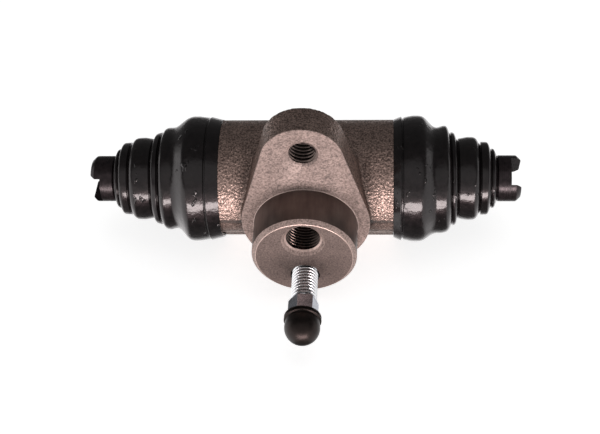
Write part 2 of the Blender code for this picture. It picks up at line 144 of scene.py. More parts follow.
# Boots. The section's corners from mouth to small end, in millimetres: distance from the mouth, radius and
# rounding. Both boots are one moulding, and the left one is drawn out further by its piston.
BOOT_MOUTH = 0.0239
BOOT_WALL = 0.0012
BOOT_CORNERS = {
    "right": (
        (-0.25, 16.40, 0.0), (1.85, 17.25, 0.20), (2.05, 16.70, 0.10), (2.35, 16.65, 0.10), (2.50, 17.00, 0.15),
        (4.9, 17.48, 5.0), (7.75, 17.45, 3.2), (10.95, 14.50, 3.6), (13.0, 14.90, 3.0), (14.6, 14.75, 1.7),
        (15.65, 12.35, 0.12), (15.8, 13.00, 0.15), (16.65, 12.85, 0.9), (17.5, 10.5, 0.12),
        (17.65, 11.15, 0.20), (20.0, 11.55, 4.0), (22.3, 11.50, 1.9), (23.55, 9.2, 0.12), (23.7, 10.10, 0.15),
        (25.65, 10.05, 0.9), (26.6, 7.7, 0.12), (26.75, 8.22, 0.12), (27.35, 8.15, 0.6), (28.1, 6.55, 0.0),
    ),
    "left": (
        (-0.25, 16.40, 0.0), (3.15, 17.25, 0.20), (3.30, 16.75, 0.10), (3.60, 16.70, 0.10), (3.75, 17.05, 0.15),
        (6.5, 17.48, 5.0), (9.0, 17.45, 3.2), (12.5, 14.10, 4.2), (14.7, 14.35, 3.0), (16.0, 14.15, 1.7),
        (17.1, 12.0, 0.12), (17.25, 12.95, 0.15), (18.6, 12.65, 1.0), (19.4, 10.5, 0.12),
        (19.55, 11.1, 0.20), (21.8, 11.55, 4.0), (24.4, 11.45, 1.9), (25.7, 9.5, 0.12), (25.85, 10.15, 0.15),
        (27.9, 10.0, 0.9), (28.75, 7.9, 0.12), (28.9, 8.3, 0.12), (29.5, 8.15, 0.6), (30.2, 6.6, 0.0),
    ),
}
# How each boot has settled to one side: distance from the cylinder's middle, reach, lean outwards and along
BOOT_LEANS = {
    "right": ((0.0352, 0.0040, -0.00055, 0.0), (0.0395, 0.0030, -0.0001, -0.00028)),
    "left": ((0.0356, 0.0030, 0.00050, 0.0),),
}
LEAN_DIRECTION = Vector((0, 0.729, 0.684))
BOOT_RIPPLE = 0.00008
BOOT_RIPPLE_SIZE = 0.007
BOOT_RIPPLE_SEED = 5

# Spring, between the two pressed dishes behind the cups
SPRING_ENDS = (-0.0112, 0.0091)
SPRING_R = 0.0061
SPRING_WIRE_R = 0.0006
SPRING_TURNS = 5

# Bleed screw and cap, outwards from the pilot's end face
SCREW_R = 0.0035
SCREW_TIP_R = 0.0012
SCREW_THREAD_OUT = 0.0095
HEX_ACROSS_FLATS = 0.0070
HEX_HEIGHT = 0.0048
HEX_TURN = math.radians(20)
NIPPLE_NECK_R = 0.0023
NIPPLE_R = 0.0030
NIPPLE_LENGTH = 0.0062
NIPPLE_BORE_R = 0.0010
CROSS_HOLE_R = 0.0008
CROSS_HOLE_DEPTH = 0.0110
CAP_R = 0.0047
CAP_RIM_R = 0.00495
CAP_LENGTH = 0.0082
SEAT_GAP = 0.0003

ON_BORE = Matrix.Translation((0, BORE_AXIS_Y, 0))
BLEED_AXIS = Matrix.Translation((0, 0, -BLEED_DROP)) @ Matrix.Rotation(-math.pi / 2, 4, "Z")

CAMERA = Matrix((
    (0.99785, -0.00135, 0.06560, 0.02221),
    (0.04587, 0.72918, -0.68278, -0.23450),
    (-0.04692, 0.68431, 0.72767, 0.26580),
    (0, 0, 0, 1),
))
CAMERA_LENS = 80.51


class CastBodySettings(bpy.types.PropertyGroup):
    skin_colour: FloatVectorProperty(
        name="Casting colour", description="Mid tone of the sand cast skin",
        subtype="COLOR", size=3, min=0, max=1, default=(0.39, 0.278, 0.240),
    )
    machined_colour: FloatVectorProperty(
        name="Machined colour", description="Mid tone of the milled faces",
        subtype="COLOR", size=3, min=0, max=1, default=(0.405, 0.305, 0.272),
    )
    skin_cell: FloatProperty(
        name="Skin cell", description="Size of the cells that the cast skin is rebuilt from",
        subtype="DISTANCE", unit="LENGTH", min=0.0003, max=0.001, default=0.0004,
    )
    fillet_rounds: IntProperty(
        name="Fillet rounds", description="How often the cast skin's inner corners are smoothed",
        min=0, max=40, default=2,
    )
    mount_thread: FloatProperty(
        name="Mounting thread", description="Nominal diameter of the mounting hole's thread",
        subtype="DISTANCE", unit="LENGTH", min=0.007, max=0.009, default=0.008,
    )
    port_thread: FloatProperty(
        name="Line port thread", description="Nominal diameter of the line port's thread",
        subtype="DISTANCE", unit="LENGTH", min=0.0092, max=0.011, default=0.0100,
    )


class BootSettings(bpy.types.PropertyGroup):
    colour: FloatVectorProperty(
        name="Boot colour", description="Colour of the boots' rubber",
        subtype="COLOR", size=3, min=0, max=1, default=(0.0050, 0.0045, 0.0046),
    )
    sides: IntProperty(
        name="Sides", description="Facets round each boot", min=48, max=192, default=144,
    )


class PistonSettings(bpy.types.PropertyGroup):
    colour: FloatVectorProperty(
        name="Piston colour", description="Colour of the anodised pistons",
        subtype="COLOR", size=3, min=0, max=1, default=(0.030, 0.022, 0.024),
    )
    sides: IntProperty(
        name="Sides", description="Facets round each piston", min=32, max=160, default=112,
    )


class SpringSettings(bpy.types.PropertyGroup):
    wire_steps: IntProperty(
        name="Steps a turn", description="Sections of wire in one turn of the return spring",
        min=16, max=64, default=32,
    )


class BleedSettings(bpy.types.PropertyGroup):
    plate_colour: FloatVectorProperty(
        name="Plating colour", description="Colour of the bleed screw's zinc plating",
        subtype="COLOR", size=3, min=0, max=1, default=(0.80, 0.80, 0.82),
    )
    # Painted shade: a darker plate colour for the hexagon's flats.
    hex_shade_colour: FloatVectorProperty(
        name="Hexagon colour", description="Colour of the plating on the bleed screw's hexagon",
        subtype="COLOR", size=3, min=0, max=1, default=(0.43, 0.44, 0.49),
    )
    cap_colour: FloatVectorProperty(
        name="Cap colour", description="Colour of the dust cap's rubber",
        subtype="COLOR", size=3, min=0, max=1, default=(0.0060, 0.0050, 0.0046),
    )
    pitch: FloatProperty(
        name="Thread pitch", description="Pitch of the bleed screw's thread",
        subtype="DISTANCE", unit="LENGTH", min=0.0005, max=0.002, default=0.0010,
    )


class StudioSettings(bpy.types.PropertyGroup):
    key_power: FloatProperty(
        name="Key power", description="Power of the low front window light",
        subtype="POWER", unit="POWER", min=0, max=50, default=3.4,
    )
    ambient: FloatProperty(
        name="Ambient", description="Brightness of the surroundings on the object", min=0, max=1, default=0.24,
    )
    dark_room: FloatProperty(
        name="Dark room", description="Brightness that gloss shows of the room above", min=0, max=1, default=0.085,
    )


def lathe(profile, sides, place=None):
    """Spin a closed profile of (distance along X, radius) points about X, and put it in place."""
    bm = bmesh.new()
    verts = [bm.verts.new((x, 0, r)) for x, r in profile]
    edges = [bm.edges.new(pair) for pair in zip(verts, verts[1:] + verts[:1])]
    bmesh.ops.spin(
        bm, geom=verts + edges, cent=(0, 0, 0), axis=(1, 0, 0), angle=math.tau, steps=sides, use_merge=True,
    )
    for vert in bm.verts:
        if math.hypot(vert.co.y, vert.co.z) < TINY:
            vert.co.y = vert.co.z = 0
    bmesh.ops.remove_doubles(bm, verts=bm.verts, dist=TINY)
    bmesh.ops.delete(bm, geom=[e for e in bm.edges if e.is_wire], context="EDGES")
    bmesh.ops.recalc_face_normals(bm, faces=bm.faces)
    if place:
        bmesh.ops.transform(bm, matrix=place, verts=bm.verts)
    return bm


def prism(outline, depth):
    """Extrude a closed outline of points along the depth vector."""
    bm = bmesh.new()
    face = bm.faces.new([bm.verts.new(point) for point in outline])
    grown = bmesh.ops.extrude_face_region(bm, geom=[face], use_keep_orig=True)
    bmesh.ops.translate(bm, vec=depth, verts=[v for v in grown["geom"] if isinstance(v, bmesh.types.BMVert)])
    bmesh.ops.recalc_face_normals(bm, faces=bm.faces)
    return bm


def block(low, high):
    """A box between two corners."""
    low, high = Vector(low), Vector(high)
    bm = bmesh.new()
    size = Matrix.Diagonal((*(high - low), 1))
    bmesh.ops.create_cube(bm, size=1, matrix=Matrix.Translation((low + high) / 2) @ size)
    return bm


def soften(bm, offset, segments=2, angle=math.radians(40)):
    """Round every edge that is sharper than the angle."""
    sharp = [e for e in bm.edges if len(e.link_faces) == 2 and e.calc_face_angle(0) > angle]
    bmesh.ops.bevel(
        bm, geom=sharp, offset=offset, affect="EDGES", segments=segments, profile=0.5, material=-1,
        clamp_overlap=True,
    )
    return bm


def arc(centre, radius, start, end, steps):
    """Points on an arc in a plane, from the start angle to the end angle."""
    angles = [start + (end - start) * i / steps for i in range(steps + 1)]
    return [(centre[0] + radius * math.cos(a), centre[1] + radius * math.sin(a)) for a in angles]


def threaded(start, end, root, crest, pitch, sides=64, place=None):
    """A rod along X with a right-hand thread, which runs out over the last pitch and a half at each end."""
    tooth = ((0, 0), (0.125, 0), (0.4375, 1), (0.5625, 1), (0.875, 0))
    turns = int((end - start) / pitch) - 1
    start = end - (turns + 1) * pitch
    line = [(turn + share, height) for turn in range(turns) for share, height in tooth] + [(turns, 0)]
    bm = bmesh.new()
    verts = [bm.verts.new((start + along * pitch, 0, root + (crest - root) * height)) for along, height in line]
    edges = [bm.edges.new(pair) for pair in zip(verts, verts[1:])]
    bmesh.ops.spin(
        bm, geom=verts + edges, cent=(0, 0, 0), axis=(1, 0, 0), dvec=(pitch / sides, 0, 0), angle=math.tau,
        steps=sides,
    )
    bmesh.ops.remove_doubles(bm, verts=bm.verts, dist=10 * TINY)
    for vert in bm.verts:
        radius = math.hypot(vert.co.y, vert.co.z)
        run_out = 2 * (min(vert.co.x - start, end - vert.co.x) / pitch - 1)
        grown = (root + (radius - root) * min(1, max(0, run_out))) / radius
        vert.co.y *= grown
        vert.co.z *= grown
    rims = bmesh.ops.extrude_edge_only(bm, edges=[e for e in bm.edges if e.is_boundary])["geom"]
    for vert in rims:
        if isinstance(vert, bmesh.types.BMVert):
            vert.co = (start if vert.co.x < (start + end) / 2 else end, 0, 0)
    bmesh.ops.remove_doubles(bm, verts=bm.verts, dist=10 * TINY)
    bmesh.ops.recalc_face_normals(bm, faces=bm.faces)
    if place:
        bmesh.ops.transform(bm, matrix=place, verts=bm.verts)
    return bm


def as_mesh(bm, name):
    mesh = bpy.data.meshes.new(name)
    bm.to_mesh(mesh)
    bm.free()
    return mesh


def as_object(bm, name):
    obj = bpy.data.objects.new(name, as_mesh(bm, name))
    bpy.context.scene.collection.objects.link(obj)
    return obj


def apply_modifiers(obj):
    """Keep what the modifiers make as the object's own mesh."""
    graph = bpy.context.evaluated_depsgraph_get()
    mesh = bpy.data.meshes.new_from_object(obj.evaluated_get(graph))
    mesh.name = obj.name
    obj.modifiers.clear()
    obj.data = mesh


def carve(obj, bm, operation):
    """Join, cut or intersect the object with a shape, which is then thrown away."""
    other = as_object(bm, f"{obj.name}_{operation.lower()}")
    modifier = obj.modifiers.new(operation, "BOOLEAN")
    modifier.object = other
    modifier.operation = operation
    modifier.solver = "MANIFOLD"
    apply_modifiers(obj)
    bpy.data.objects.remove(other)
    if not obj.data.polygons:
        raise RuntimeError(f"{obj.name} is empty after {operation}")


def finished(obj, materials, body=None, stands_for=(), sharp=math.radians(35)):
    """Shade the piece, give it its materials, and tie it to the frame."""
    obj.data.materials.clear()
    for mat in materials:
        obj.data.materials.append(mat)
    obj.data.shade_smooth()
    obj.data.set_sharp_from_angle(angle=sharp)
    if stands_for:
        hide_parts(*stands_for)
    if body:
        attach(obj, body)
    return obj


class Finish:
    """A material's node tree on Object coordinates, with short calls for the nodes that the finishes share."""

    def __init__(self, name, colour, roughness, metallic=0.0, **inputs):
        self.mat = bpy.data.materials.new(name)
        self.mat.use_nodes = True
        self.tree = self.mat.node_tree
        self.shader = self.tree.nodes["Principled BSDF"]
        self.shader.inputs["Base Color"].default_value = (*colour, 1)
        self.shader.inputs["Roughness"].default_value = roughness
        self.shader.inputs["Metallic"].default_value = metallic
        for socket, value in inputs.items():
            self.shader.inputs[socket.replace("_", " ").title()].default_value = value
        self.coords = self.tree.nodes.new("ShaderNodeTexCoord").outputs["Object"]
        self.height = None

    def link(self, source, target):
        self.tree.links.new(source, target)

    def stretched(self, scale, shift=(0, 0, 0)):
        """Object coordinates scaled along each axis, for drawn out patterns, and then shifted."""
        node = self.tree.nodes.new("ShaderNodeMapping")
        node.inputs["Scale"].default_value = scale
        node.inputs["Location"].default_value = shift
        self.link(self.coords, node.inputs["Vector"])
        return node.outputs["Vector"]

    def noise(self, size, detail=2.0, roughness=0.5, coords=None):
        node = self.tree.nodes.new("ShaderNodeTexNoise")
        node.inputs["Scale"].default_value = 1 / size
        node.inputs["Detail"].default_value = detail
        node.inputs["Roughness"].default_value = roughness
        self.link(coords or self.coords, node.inputs["Vector"])
        return node.outputs["Fac"]

    def pits(self, size, coords=None):
        node = self.tree.nodes.new("ShaderNodeTexVoronoi")
        node.inputs["Scale"].default_value = 1 / size
        self.link(coords or self.coords, node.inputs["Vector"])
        return node.outputs["Distance"]

    def openness(self, reach):
        """How open the surface lies, from 0 in a tight corner to 1 on a free face."""
        node = self.tree.nodes.new("ShaderNodeAmbientOcclusion")
        node.only_local = True
        node.inputs["Distance"].default_value = reach
        return node.outputs["AO"]

    def length(self, vector):
        node = self.tree.nodes.new("ShaderNodeVectorMath")
        node.operation = "LENGTH"
        self.link(vector, node.inputs[0])
        return node.outputs["Value"]

    def ramp(self, value, *stops):
        """A colour ramp with (position, colour or grey) stops."""
        node = self.tree.nodes.new("ShaderNodeValToRGB")
        elements = node.color_ramp.elements
        while len(elements) < len(stops):
            elements.new(1)
        for element, (position, colour) in zip(elements, stops):
            element.position = position
            rgb = (colour,) * 3 if isinstance(colour, (int, float)) else tuple(colour)
            element.color = (*rgb, 1)
        self.link(value, node.inputs["Fac"])
        return node.outputs["Color"]

    def blend(self, factor, first, second, kind="MIX"):
        """Mix two colour outputs."""
        node = self.tree.nodes.new("ShaderNodeMix")
        node.data_type = "RGBA"
        node.blend_type = kind
        for source, socket in ((factor, node.inputs[0]), (first, node.inputs[6]), (second, node.inputs[7])):
            if isinstance(source, float):
                socket.default_value = source
            elif isinstance(source, tuple):
                socket.default_value = (*source, 1)
            else:
                self.link(source, socket)
        return node.outputs[2]

    def bump(self, value, depth, strength=1.0):
        """Add a layer of bump of the given depth in metres."""
        node = self.tree.nodes.new("ShaderNodeBump")
        node.inputs["Strength"].default_value = strength
        node.inputs["Distance"].default_value = depth
        self.link(value, node.inputs["Height"])
        if self.height:
            self.link(self.height, node.inputs["Normal"])
        self.height = node.outputs["Normal"]
        self.link(self.height, self.shader.inputs["Normal"])

    def colour_from(self, output):
        self.link(output, self.shader.inputs["Base Color"])

    def roughness_from(self, output):
        self.link(output, self.shader.inputs["Roughness"])


def shade(colour, factor):
    return tuple(min(1.0, c * factor) for c in colour)


def cast_skin_finish(name, colour):
    """Sand cast iron: pimpled, with darker pits between the grains, glinting tops, and painted shade that darkens its
    inner corners.
    """
    f = Finish(name, colour, 0.42, 0.72)
    grains = f.ramp(f.pits(0.00080), (0.0, 1.0), (0.75, 0.0))
    uneven = f.noise(0.0013, 2.0)
    fine = f.noise(0.00042, 2.0, 0.5)
    patches = f.noise(0.004, 3.0)
    tone = f.ramp(fine, (0.36, shade(colour, 0.45)), (0.5, colour), (0.64, shade(colour, 1.6)))
    mottled = f.ramp(patches, (0.3, 0.80), (0.7, 1.05))
    # Painted shade: the colour darkens where the surface lies in a tight corner.
    corner_shade = f.ramp(f.openness(0.0060), (0.60, 0.12), (0.92, 1.0))
    f.colour_from(f.blend(1.0, f.blend(1.0, tone, mottled, "MULTIPLY"), corner_shade, "MULTIPLY"))
    f.roughness_from(f.ramp(fine, (0.35, 0.50), (0.65, 0.34)))
    f.bump(uneven, 0.00020, 0.8)
    f.bump(grains, 0.00016, 0.9)
    f.bump(fine, 0.00014, 0.8)
    return f.mat


def milled_finish(name, colour, metallic, lift=1.0):
    """A machined iron face: fine open grain with small dark graphite specks."""
    f = Finish(name, colour, 0.5, metallic)
    grain = f.noise(0.00045, 3.0, 0.6)
    specks = f.noise(0.0010, 2.0)
    clouds = f.noise(0.0035, 2.0)
    tone = f.ramp(
        grain, (0.34, shade(colour, 1 - 0.45 * lift)), (0.5, colour), (0.66, shade(colour, 1 + 0.45 * lift)),
    )
    dust = f.ramp(specks, (0.30, 0.62), (0.42, 1.0))
    cloudy = f.ramp(clouds, (0.35, 0.86), (0.65, 1.0))
    f.colour_from(f.blend(1.0, f.blend(1.0, tone, dust, "MULTIPLY"), cloudy, "MULTIPLY"))
    f.roughness_from(f.ramp(grain, (0.3, 0.6), (0.7, 0.42)))
    f.bump(grain, 0.00012 * lift, 0.6)
    return f.mat


def turned_finish(colour):
    """The pilot's turned side and the boot seats, with soft stains and fine grain."""
    f = Finish("turned_iron", colour, 0.42, 0.7)
    stains = f.noise(0.0050, 3.0, coords=f.stretched((1, 0.6, 1)))
    streaks = f.noise(0.0009, 2.0, coords=f.stretched((1, 0.10, 1)))
    grain = f.noise(0.0005, 2.0)
    tone = f.ramp(stains, (0.35, shade(colour, 0.72)), (0.65, shade(colour, 1.1)))
    worn = f.ramp(streaks, (0.3, 0.86), (0.7, 1.0))
    f.colour_from(f.blend(1.0, tone, worn, "MULTIPLY"))
    f.roughness_from(f.ramp(stains, (0.3, 0.36), (0.7, 0.5)))
    f.bump(grain, 0.00005, 0.5)
    return f.mat


def edge_highlight_finish(colour):
    """Machined chamfers and edges, painted brighter than the machined faces as a highlight."""
    f = Finish("edge_painted_highlight_iron", colour, 0.32, 0.6)
    nicks = f.noise(0.0008, 3.0)
    f.colour_from(f.ramp(nicks, (0.35, shade(colour, 0.7)), (0.6, colour)))
    return f.mat


def thread_finish(colour):
    """Cut threads and drillings in the iron, glossy, in a darker copy of the machined colour as painted shade inside
    the holes.
    """
    f = Finish("cut_thread_painted_shade", colour, 0.18, 1.0)
    grain = f.noise(0.0005, 2.0)
    f.colour_from(f.ramp(grain, (0.3, shade(colour, 0.6)), (0.7, shade(colour, 1.1))))
    f.bump(grain, 0.00002, 0.3)
    return f.mat


def boot_finish(colour):
    """Glossy moulded rubber with faint waves, a few small creases and a little bloom."""
    f = Finish(
        "boot_rubber", colour, 0.45, specular_tint=(1.0, 0.80, 0.82, 1), coat_weight=0.95, coat_roughness=0.15,
        coat_tint=(1.0, 0.93, 0.94, 1),
    )
    f.shader.inputs["Specular IOR Level"].default_value = 0.22
    waves = f.noise(0.0040, 3.0, 0.55)
    creases = f.ramp(f.noise(0.0024, 2.0, 0.6, f.stretched((1, 0.6, 0.6))), (0.67, 0.0), (0.73, 1.0))
    bloom = f.noise(0.0016, 4.0, 0.6)
    f.colour_from(f.ramp(bloom, (0.35, shade(colour, 0.7)), (0.75, shade(colour, 1.8))))
    f.roughness_from(f.ramp(bloom, (0.35, 0.28), (0.75, 0.44)))
    f.bump(waves, 0.00035, 0.45)
    f.bump(creases, 0.00026, 0.7)
    f.bump(bloom, 0.00004, 0.4)
    f.link(f.height, f.shader.inputs["Coat Normal"])
    return f.mat


def piston_finish(colour):
    """Black anodised aluminium, turned, with fine rings and a purple cast."""
    f = Finish("black_anodised", colour, 0.30, 0.55)
    rings = f.noise(0.0003, 1.0, coords=f.stretched((1, 0.04, 0.04)))
    scuffs = f.noise(0.0012, 3.0)
    f.colour_from(f.ramp(scuffs, (0.35, shade(colour, 0.7)), (0.7, shade(colour, 1.5))))
    f.roughness_from(f.ramp(rings, (0.3, 0.24), (0.7, 0.38)))
    f.bump(rings, 0.00002, 0.5)
    return f.mat


def steel_finish(name, colour, roughness=0.3):
    """Drawn or pressed steel, oiled."""
    f = Finish(name, colour, roughness, 1.0)
    marks = f.noise(0.0007, 3.0)
    f.colour_from(f.ramp(marks, (0.3, shade(colour, 0.75)), (0.7, shade(colour, 1.1))))
    f.roughness_from(f.ramp(marks, (0.3, roughness * 1.3), (0.7, roughness * 0.8)))
    f.bump(marks, 0.00002, 0.4)
    return f.mat


def plate_finish(colour):
    """Bright zinc plate with a fine crystalline cloud."""
    f = Finish("zinc_plate", colour, 0.2, 1.0)
    cloud = f.noise(0.0009, 3.0, 0.6)
    f.colour_from(f.ramp(cloud, (0.3, shade(colour, 0.85)), (0.7, shade(colour, 1.1))))
    f.roughness_from(f.ramp(cloud, (0.3, 0.24), (0.7, 0.16)))
    f.bump(cloud, 0.00001, 0.2)
    return f.mat


def plated_thread_finish(colour, root, crest):
    """The plate on the bleed screw's thread, darker towards the root as painted shade and brighter at the crest as a
    painted highlight.
    """
    f = Finish("zinc_thread_painted_shade", colour, 0.25, 1.0)
    place = f.stretched((1 / crest, 0, 1 / crest), (0, 0, BLEED_DROP / crest))
    off_axis = f.length(place)
    # Painted shade in the roots and painted highlight on the crests.
    f.colour_from(f.ramp(off_axis, (root / crest + 0.01, shade(colour, 0.28)), (0.91, shade(colour, 1.18))))
    return f.mat


def hex_finish(colour):
    """The hexagon's drawn flats under the same plate, in a darker copy of it as painted shade."""
    f = Finish("hex_plate_painted_shade", colour, 0.2, 1.0)
    cloud = f.noise(0.0007, 3.0, 0.6)
    f.colour_from(f.ramp(cloud, (0.35, shade(colour, 0.8)), (0.65, shade(colour, 1.2))))
    f.bump(cloud, 0.00002, 0.3)
    return f.mat


def cap_finish(colour):
    """Satin cap rubber with a soft brownish bloom."""
    f = Finish("cap_rubber", colour, 0.36, specular_tint=(0.78, 0.60, 0.56, 1))
    bloom = f.noise(0.0014, 4.0, 0.6)
    f.colour_from(f.ramp(bloom, (0.35, shade(colour, 0.7)), (0.75, shade(colour, 2.2))))
    f.roughness_from(f.ramp(bloom, (0.3, 0.30), (0.75, 0.42)))
    f.bump(bloom, 0.00003, 0.35)
    return f.mat


def seal_finish():
    """Matt black seal rubber."""
    colour = (0.02, 0.02, 0.02)
    f = Finish("seal_rubber", colour, 0.5)
    bloom = f.noise(0.001, 3.0)
    f.colour_from(f.ramp(bloom, (0.3, shade(colour, 0.7)), (0.7, shade(colour, 1.5))))
    f.bump(bloom, 0.00003, 0.3)
    return f.mat


def pad_prism(near, far, grown=0.0):
    """The pad's outline as a block between two distances from the bore, towards the backing plate."""
    lean = math.asin((LOBE_R - EAR_R) / (EAR_RISE - LOBE_RISE))
    outline = arc((0, EAR_RISE), EAR_R + grown, lean, math.pi - lean, 48)
    outline += arc((0, LOBE_RISE), LOBE_R + grown, math.pi - lean, math.tau + lean, 72)
    return prism([(x, BORE_AXIS_Y - far, z) for x, z in outline], (0, far - near, 0))


def ear_section():
    """The pad seen along the bore, with the fillet that runs from the ear's back onto the barrel."""
    ear_back = -PAD_FACE + EAR_THICKNESS + SKIN_ALLOWANCE
    fillet_y = ear_back + EAR_FILLET_R
    fillet_z = math.sqrt((BARREL_R + EAR_FILLET_R) ** 2 - fillet_y ** 2)
    foot = math.atan2(-fillet_z, -fillet_y)
    wide = 4 * LOBE_R
    points = [(-wide, wide), (ear_back, wide)]
    points += arc((fillet_y, fillet_z), EAR_FILLET_R, -math.pi, foot, 10)
    points += [(0, BARREL_R - BOOT_WALL), (0, -wide), (-wide, -wide)]
    return prism([(-wide, BORE_AXIS_Y + y, z) for y, z in points], (2 * wide, 0, 0))


def build_casting(settings):
    """The sand cast skin: barrel and pad melted together, then rounded."""
    reach = BARREL_HALF + 4 * settings.skin_cell
    body = as_object(pad_prism(0, PAD_FACE + settings.skin_cell), "cast_body")
    carve(body, ear_section(), "INTERSECT")
    barrel = lathe([(-reach, 0), (-reach, BARREL_R), (reach, BARREL_R), (reach, 0)], 128, ON_BORE)
    carve(body, barrel, "UNION")
    remesh = body.modifiers.new("skin", "REMESH")
    remesh.mode = "VOXEL"
    remesh.voxel_size = settings.skin_cell
    apply_modifiers(body)
    inner_corners(body, "fillets")
    for name, rounds, group in (("edges", 5, ""), ("fillets", settings.fillet_rounds, "fillets")):
        smooth = body.modifiers.new(name, "SMOOTH")
        smooth.iterations = rounds
        smooth.factor = 0.5
        smooth.vertex_group = group
    apply_modifiers(body)
    return body


def inner_corners(obj, name, angle=math.radians(15), rings=4):
    """Group the points round the object's inner corners."""
    bm = bmesh.new()
    bm.from_mesh(obj.data)
    corners = {v for e in bm.edges if e.calc_face_angle_signed(0) < -angle for v in e.verts}
    for _ in range(rings):
        corners |= {e.other_vert(v) for v in corners for e in v.link_edges}
    obj.vertex_groups.new(name=name).add([v.index for v in corners], 1, "ADD")
    bm.free()


def clearance_flat():
    """The flat on the barrel's lower front, cut on both sides of the pad."""
    deep = BARREL_R - FLAT_FROM_AXIS
    flat = as_object(block((-BARREL_HALF * 2, -deep, -BARREL_R), (BARREL_HALF * 2, deep, BARREL_R)), "flat")
    outward = Vector((0, -math.cos(FLAT_TILT), -math.sin(FLAT_TILT)))
    place = Matrix.Translation(Vector((0, BORE_AXIS_Y, 0)) + outward * (FLAT_FROM_AXIS + deep))
    flat.data.transform(place @ Matrix.Rotation(FLAT_TILT, 4, "X"))
    carve(flat, pad_prism(0, 2 * PAD_FACE), "DIFFERENCE")
    bm = bmesh.new()
    bm.from_mesh(flat.data)
    bpy.data.objects.remove(flat)
    return bm


def pad_trim():
    """What the mill takes off the pad: its front, and a fine break along the edge."""
    front = BORE_AXIS_Y - PAD_FACE
    trim = as_object(block((-0.1, -0.1, -0.1), (0.1, front + PAD_EDGE_BREAK, 0.1)), "trim")
    kept = pad_prism(PAD_FACE - 4 * PAD_EDGE_BREAK, PAD_FACE, PAD_EDGE_BREAK)
    edge = [e for e in kept.edges if all(abs(v.co.y - front) < TINY for v in e.verts)]
    bmesh.ops.bevel(
        kept, geom=edge, offset=2 * PAD_EDGE_BREAK, affect="EDGES", segments=1, profile=0.5, material=-1,
    )
    carve(trim, kept, "DIFFERENCE")
    bm = bmesh.new()
    bm.from_mesh(trim.data)
    bpy.data.objects.remove(trim)
    return bm


def machine_outside(body, cell):
    """Mill the pad, turn the pilot and the boot seats."""
    carve(body, clearance_flat(), "DIFFERENCE")
    carve(body, pad_trim(), "DIFFERENCE")
    for side in (-1, 1):
        past = side * (BARREL_HALF + 8 * cell)
        ends = sorted((side * BARREL_HALF, past))
        ring = [(ends[0], 0), (ends[0], 2 * BARREL_R), (ends[1], 2 * BARREL_R), (ends[1], 0)]
        carve(body, lathe(ring, 64, ON_BORE), "DIFFERENCE")

    half = [
        (BEAD_GROOVE_START, BOOT_SEAT_R),
        (BEAD_GROOVE_START, BEAD_GROOVE_R),
        (BEAD_GROOVE_END, BEAD_GROOVE_R),
        (BEAD_GROOVE_END, BOOT_SEAT_R),
        (BARREL_END - MOUTH_CHAMFER, BOOT_SEAT_R),
        (BARREL_END, BOOT_SEAT_R - MOUTH_CHAMFER),
        (BARREL_END, 0),
    ]
    seats = lathe([(-x, r) for x, r in reversed(half)] + half, 112, ON_BORE)
    carve(body, seats, "UNION")

    base = -PILOT_LENGTH
    root = 0.0004
    pilot = arc((base + root, PILOT_R + root), root, -math.pi, -math.pi / 2, 4)
    edge = [(base / 2, PILOT_R, 0), (-PILOT_CHAMFER, PILOT_R, 0.0001), (0, PILOT_R - PILOT_CHAMFER, 0.0004), (0, 0, 0)]
    edge = [tuple(point) for point in rounded(edge)]
    profile = [(base - 0.004, 0), (base - 0.004, PILOT_R + root), *pilot, *edge]
    place = Matrix.Rotation(-math.pi / 2, 4, "Z")
    carve(body, lathe(profile, 160, place), "UNION")


def drill(body, settings):
    """Bore the cylinder and cut the port, the bleed hole and the mounting hole, with their threads."""
    mouth = [
        (BARREL_END - MOUTH_CHAMFER, BORE_R),
        (BARREL_END + MOUTH_CHAMFER, BORE_R + 2 * MOUTH_CHAMFER),
        (BARREL_END + MOUTH_CHAMFER, 0),
    ]
    carve(body, lathe([(-x, r) for x, r in reversed(mouth)] + mouth, 96, ON_BORE), "DIFFERENCE")

    inwards = Matrix.Rotation(-math.pi / 2, 4, "Z")
    to_bore = -PILOT_FACE + BORE_R / 2
    past = 0.003
    port = Matrix.Translation((0, 0, PORT_RISE)) @ inwards
    port_crest = settings.port_thread / 2
    spot = [
        (past, 0),
        (past, PORT_SPOT_R),
        (0, PORT_SPOT_R),
        (-PORT_SPOT_EDGE, PORT_SPOT_R - PORT_SPOT_EDGE),
        (-PORT_SPOT_DEPTH, port_crest - SLIVER),
        (-PORT_SPOT_DEPTH - PORT_CHAMFER, PORT_R),
        (-PORT_DEPTH, PORT_R - 0.00002),
        (-PORT_DEPTH - PORT_R + PORT_PASSAGE_R, PORT_PASSAGE_R),
        (to_bore, PORT_PASSAGE_R),
        (to_bore, 0),
    ]
    carve(body, lathe(spot, 72, port), "DIFFERENCE")
    tap = threaded(-PORT_DEPTH + 0.0002, 0, PORT_R - 0.0001, port_crest, 0.0010, place=port)
    carve(body, tap, "DIFFERENCE")

    bleed = Matrix.Translation((0, 0, -BLEED_DROP)) @ inwards
    carve(body, lathe([
        (past, 0),
        (past, BLEED_MOUTH_R),
        (-0.0003, BLEED_MOUTH_R),
        (-0.0012, BLEED_HOLE_R),
        (-BLEED_DEPTH, BLEED_HOLE_R),
        (-BLEED_DEPTH - BLEED_SEAT, BLEED_PASSAGE_R),
        (to_bore, BLEED_PASSAGE_R),
        (to_bore, 0),
    ], 56, bleed), "DIFFERENCE")

    mount_crest = settings.mount_thread / 2
    mount_root = mount_crest - 0.0006
    wide = mount_crest + MOUNT_EDGE
    mount = Matrix.Translation((0, PILOT_LENGTH, MOUNT_RISE)) @ inwards
    back = -EAR_THICKNESS - SKIN_ALLOWANCE
    carve(body, lathe([
        (past, 0),
        (past, wide),
        (0, wide),
        (-0.00022, mount_crest - 0.0001),
        (-MOUNT_CHAMFER, mount_root),
        (back + 0.0008, mount_root),
        (back, wide),
        (back - past, wide),
        (back - past, 0),
    ], 64, mount), "DIFFERENCE")
    tap = threaded(back - past, past, mount_root - 0.0001, mount_crest, 0.00125, place=mount)
    carve(body, tap, "DIFFERENCE")


